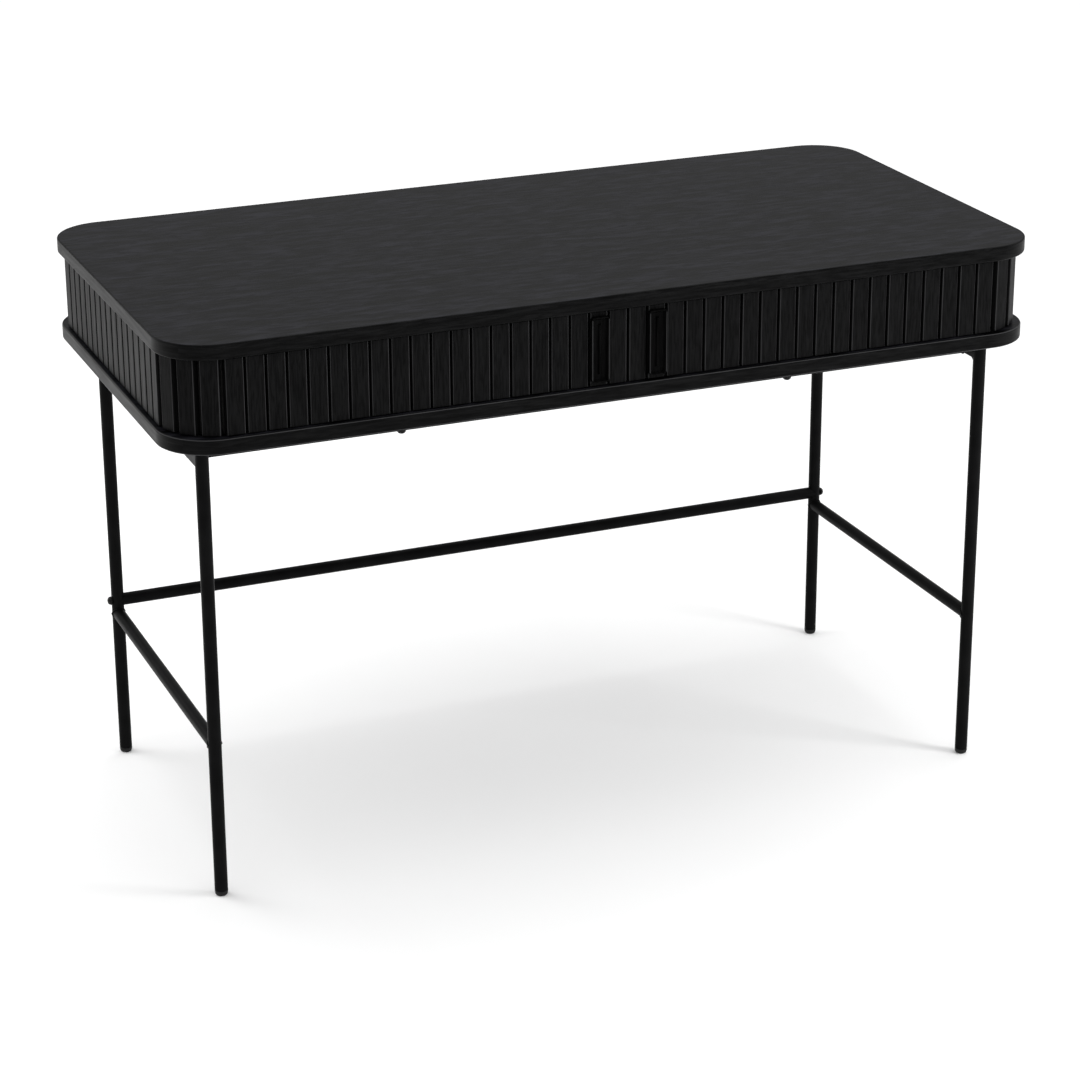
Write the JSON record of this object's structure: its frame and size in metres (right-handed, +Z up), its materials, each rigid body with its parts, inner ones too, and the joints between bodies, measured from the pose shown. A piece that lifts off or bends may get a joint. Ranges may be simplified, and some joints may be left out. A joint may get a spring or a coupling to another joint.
{
  "type": "writing desk",
  "caption": "Writing desk with a shallow storage case closed by sliding tambour doors, on a slim round-tube steel frame with stretchers.",
  "frame": {"origin": "on the floor under the centre of the tabletop", "axes": "+Z up, +X to the right of a person facing the doors, -Y out of the front"},
  "size_m": [1.2, 0.592, 0.762],
  "materials": {
    "veneer": "black-stained veneer, satin",
    "slat": "black-stained solid wood, satin",
    "inner_panel": "black-stained panel, matt",
    "steel": "black powder coat, fine satin",
    "bolt": "black oxide",
    "foot": "black plastic, matt"
  },
  "bodies": {
    "carcass": {"tabletop": "veneer", "bottom_board": "veneer", "left_side_panel": "inner_panel", "right_side_panel": "inner_panel", "left_corner_panel": "inner_panel", "right_corner_panel": "inner_panel", "back_panel": "inner_panel", "centre_divider": "inner_panel", "front_left_leg": "steel", "front_left_foot": "foot", "front_right_leg": "steel", "front_right_foot": "foot", "rear_left_leg": "steel", "rear_left_foot": "foot", "rear_right_leg": "steel", "rear_right_foot": "foot", "left_side_stretcher": "steel", "right_side_stretcher": "steel", "back_stretcher": "steel", "left_top_rail": "steel", "right_top_rail": "steel", "front_cross_rail": "steel", "rear_cross_rail": "steel", "front_rail_bolt_left": "bolt", "front_rail_bolt_right": "bolt", "rear_rail_bolt_left": "bolt", "rear_rail_bolt_right": "bolt", "back_stretcher_bolt_left": "bolt", "back_stretcher_bolt_right": "bolt"},
    "left_door_lead": {"left_curtain_lead": "slat", "left_handle": "slat"},
    "left_door_slat_03": {"left_curtain_slat_03": "slat"},
    "left_door_slat_04": {"left_curtain_slat_04": "slat"},
    "left_door_slat_05": {"left_curtain_slat_05": "slat"},
    "left_door_front_run": {"left_curtain_front_run": "slat"},
    "left_door_slat_21": {"left_curtain_slat_21": "slat"},
    "left_door_corner_run": {"left_curtain_corner_run": "slat"},
    "left_door_slat_25": {"left_curtain_slat_25": "slat"},
    "left_door_side_run": {"left_curtain_side_run": "slat"},
    "left_door_slat_41": {"left_curtain_slat_41": "slat"},
    "left_door_slat_42": {"left_curtain_slat_42": "slat"},
    "left_door_slat_43": {"left_curtain_slat_43": "slat"},
    "right_door_lead": {"right_curtain_lead": "slat", "right_handle": "slat"},
    "right_door_slat_03": {"right_curtain_slat_03": "slat"},
    "right_door_slat_04": {"right_curtain_slat_04": "slat"},
    "right_door_slat_05": {"right_curtain_slat_05": "slat"},
    "right_door_front_run": {"right_curtain_front_run": "slat"},
    "right_door_slat_21": {"right_curtain_slat_21": "slat"},
    "right_door_corner_run": {"right_curtain_corner_run": "slat"},
    "right_door_slat_25": {"right_curtain_slat_25": "slat"},
    "right_door_side_run": {"right_curtain_side_run": "slat"},
    "right_door_slat_41": {"right_curtain_slat_41": "slat"},
    "right_door_slat_42": {"right_curtain_slat_42": "slat"},
    "right_door_slat_43": {"right_curtain_slat_43": "slat"}
  },
  "joints": [
    {"name": "left_door_slide", "type": "slide", "parent": "carcass", "child": "left_door_lead", "axis": [-1, 0, 0], "range_m": [0, 0.47589], "deforming": ["left_curtain_slat_03", "left_curtain_slat_04", "left_curtain_slat_05", "left_curtain_front_run", "left_curtain_slat_21", "left_curtain_corner_run", "left_curtain_slat_25", "left_curtain_side_run", "left_curtain_slat_41", "left_curtain_slat_42", "left_curtain_slat_43"]},
    {"name": "left_slat_03_turn", "type": "hinge", "parent": "left_door_lead", "child": "left_door_slat_03", "pos_m": [-0.05288, -0.27796, 0.692], "axis": [0, 0, 1], "range_deg": [-22.6, 0]},
    {"name": "left_slat_04_turn", "type": "hinge", "parent": "left_door_lead", "child": "left_door_slat_04", "pos_m": [-0.0661, -0.27533, 0.692], "axis": [0, 0, 1], "range_deg": [-45.1, 0]},
    {"name": "left_slat_05_turn", "type": "hinge", "parent": "left_door_lead", "child": "left_door_slat_05", "pos_m": [-0.07931, -0.27086, 0.692], "axis": [0, 0, 1], "range_deg": [-67.6, 0]},
    {"name": "left_front_run_turn", "type": "hinge", "parent": "left_door_lead", "child": "left_door_front_run", "pos_m": [-0.09253, -0.26438, 0.692], "axis": [0, 0, 1], "range_deg": [-90.1, 0]},
    {"name": "left_slat_21_turn", "type": "hinge", "parent": "left_door_front_run", "child": "left_door_slat_21", "pos_m": [-0.52876, -0.27796, 0.692], "axis": [0, 0, 1], "range_deg": [0, 22.6]},
    {"name": "left_corner_run_turn", "type": "hinge", "parent": "left_door_front_run", "child": "left_door_corner_run", "pos_m": [-0.54198, -0.27533, 0.692], "axis": [0, 0, 1], "range_deg": [0, 45.1]},
    {"name": "left_slat_25_turn", "type": "hinge", "parent": "left_door_front_run", "child": "left_door_slat_25", "pos_m": [-0.47552, -0.3312, 0.692], "axis": [0, 0, 1], "range_deg": [0, 22.6]},
    {"name": "left_side_run_shift", "type": "slide", "parent": "left_door_front_run", "child": "left_door_side_run", "axis": [-0.7071, -0.7071, 0], "range_m": [0, 0.07528]},
    {"name": "left_slat_41_turn", "type": "hinge", "parent": "left_door_side_run", "child": "left_door_slat_41", "pos_m": [-0.582, 0.22472, 0.692], "axis": [0, 0, 1], "range_deg": [0, 22.6]},
    {"name": "left_slat_42_turn", "type": "hinge", "parent": "left_door_side_run", "child": "left_door_slat_42", "pos_m": [-0.57937, 0.23794, 0.692], "axis": [0, 0, 1], "range_deg": [0, 45.1]},
    {"name": "left_slat_43_turn", "type": "hinge", "parent": "left_door_side_run", "child": "left_door_slat_43", "pos_m": [-0.57489, 0.25116, 0.692], "axis": [0, 0, 1], "range_deg": [0, 67.6]},
    {"name": "right_door_slide", "type": "slide", "parent": "carcass", "child": "right_door_lead", "axis": [1, 0, 0], "range_m": [0, 0.47589], "deforming": ["right_curtain_slat_03", "right_curtain_slat_04", "right_curtain_slat_05", "right_curtain_front_run", "right_curtain_slat_21", "right_curtain_corner_run", "right_curtain_slat_25", "right_curtain_side_run", "right_curtain_slat_41", "right_curtain_slat_42", "right_curtain_slat_43"]},
    {"name": "right_slat_03_turn", "type": "hinge", "parent": "right_door_lead", "child": "right_door_slat_03", "pos_m": [0.05288, -0.27796, 0.692], "axis": [0, 0, 1], "range_deg": [0, 22.6]},
    {"name": "right_slat_04_turn", "type": "hinge", "parent": "right_door_lead", "child": "right_door_slat_04", "pos_m": [0.0661, -0.27533, 0.692], "axis": [0, 0, 1], "range_deg": [0, 45.1]},
    {"name": "right_slat_05_turn", "type": "hinge", "parent": "right_door_lead", "child": "right_door_slat_05", "pos_m": [0.07931, -0.27086, 0.692], "axis": [0, 0, 1], "range_deg": [0, 67.6]},
    {"name": "right_front_run_turn", "type": "hinge", "parent": "right_door_lead", "child": "right_door_front_run", "pos_m": [0.09253, -0.26438, 0.692], "axis": [0, 0, 1], "range_deg": [0, 90.1]},
    {"name": "right_slat_21_turn", "type": "hinge", "parent": "right_door_front_run", "child": "right_door_slat_21", "pos_m": [0.52876, -0.27796, 0.692], "axis": [0, 0, 1], "range_deg": [-22.6, 0]},
    {"name": "right_corner_run_turn", "type": "hinge", "parent": "right_door_front_run", "child": "right_door_corner_run", "pos_m": [0.54198, -0.27533, 0.692], "axis": [0, 0, 1], "range_deg": [-45.1, 0]},
    {"name": "right_slat_25_turn", "type": "hinge", "parent": "right_door_front_run", "child": "right_door_slat_25", "pos_m": [0.47552, -0.3312, 0.692], "axis": [0, 0, 1], "range_deg": [-22.6, 0]},
    {"name": "right_side_run_shift", "type": "slide", "parent": "right_door_front_run", "child": "right_door_side_run", "axis": [0.7071, -0.7071, 0], "range_m": [0, 0.07528]},
    {"name": "right_slat_41_turn", "type": "hinge", "parent": "right_door_side_run", "child": "right_door_slat_41", "pos_m": [0.582, 0.22472, 0.692], "axis": [0, 0, 1], "range_deg": [-22.6, 0]},
    {"name": "right_slat_42_turn", "type": "hinge", "parent": "right_door_side_run", "child": "right_door_slat_42", "pos_m": [0.57937, 0.23794, 0.692], "axis": [0, 0, 1], "range_deg": [-45.1, 0]},
    {"name": "right_slat_43_turn", "type": "hinge", "parent": "right_door_side_run", "child": "right_door_slat_43", "pos_m": [0.57489, 0.25116, 0.692], "axis": [0, 0, 1], "range_deg": [-67.6, 0]}
  ],
  "couplings": [
    {"joint": "left_slat_03_turn", "follows": "left_door_slide", "rad_per_m": -0.8252},
    {"joint": "left_slat_04_turn", "follows": "left_door_slide", "rad_per_m": -1.6504},
    {"joint": "left_slat_05_turn", "follows": "left_door_slide", "rad_per_m": -2.4756},
    {"joint": "left_front_run_turn", "follows": "left_door_slide", "rad_per_m": -3.3008},
    {"joint": "left_slat_21_turn", "follows": "left_door_slide", "rad_per_m": 0.8252},
    {"joint": "left_corner_run_turn", "follows": "left_door_slide", "rad_per_m": 1.6504},
    {"joint": "left_slat_25_turn", "follows": "left_door_slide", "rad_per_m": 0.8252},
    {"joint": "left_side_run_shift", "follows": "left_door_slide", "ratio": 0.15713},
    {"joint": "left_slat_41_turn", "follows": "left_door_slide", "rad_per_m": 0.8252},
    {"joint": "left_slat_42_turn", "follows": "left_door_slide", "rad_per_m": 1.6504},
    {"joint": "left_slat_43_turn", "follows": "left_door_slide", "rad_per_m": 2.4756},
    {"joint": "right_slat_03_turn", "follows": "right_door_slide", "rad_per_m": 0.8252},
    {"joint": "right_slat_04_turn", "follows": "right_door_slide", "rad_per_m": 1.6504},
    {"joint": "right_slat_05_turn", "follows": "right_door_slide", "rad_per_m": 2.4756},
    {"joint": "right_front_run_turn", "follows": "right_door_slide", "rad_per_m": 3.3008},
    {"joint": "right_slat_21_turn", "follows": "right_door_slide", "rad_per_m": -0.8252},
    {"joint": "right_corner_run_turn", "follows": "right_door_slide", "rad_per_m": -1.6504},
    {"joint": "right_slat_25_turn", "follows": "right_door_slide", "rad_per_m": -0.8252},
    {"joint": "right_side_run_shift", "follows": "right_door_slide", "ratio": 0.15713},
    {"joint": "right_slat_41_turn", "follows": "right_door_slide", "rad_per_m": -0.8252},
    {"joint": "right_slat_42_turn", "follows": "right_door_slide", "rad_per_m": -1.6504},
    {"joint": "right_slat_43_turn", "follows": "right_door_slide", "rad_per_m": -2.4756}
  ]
}
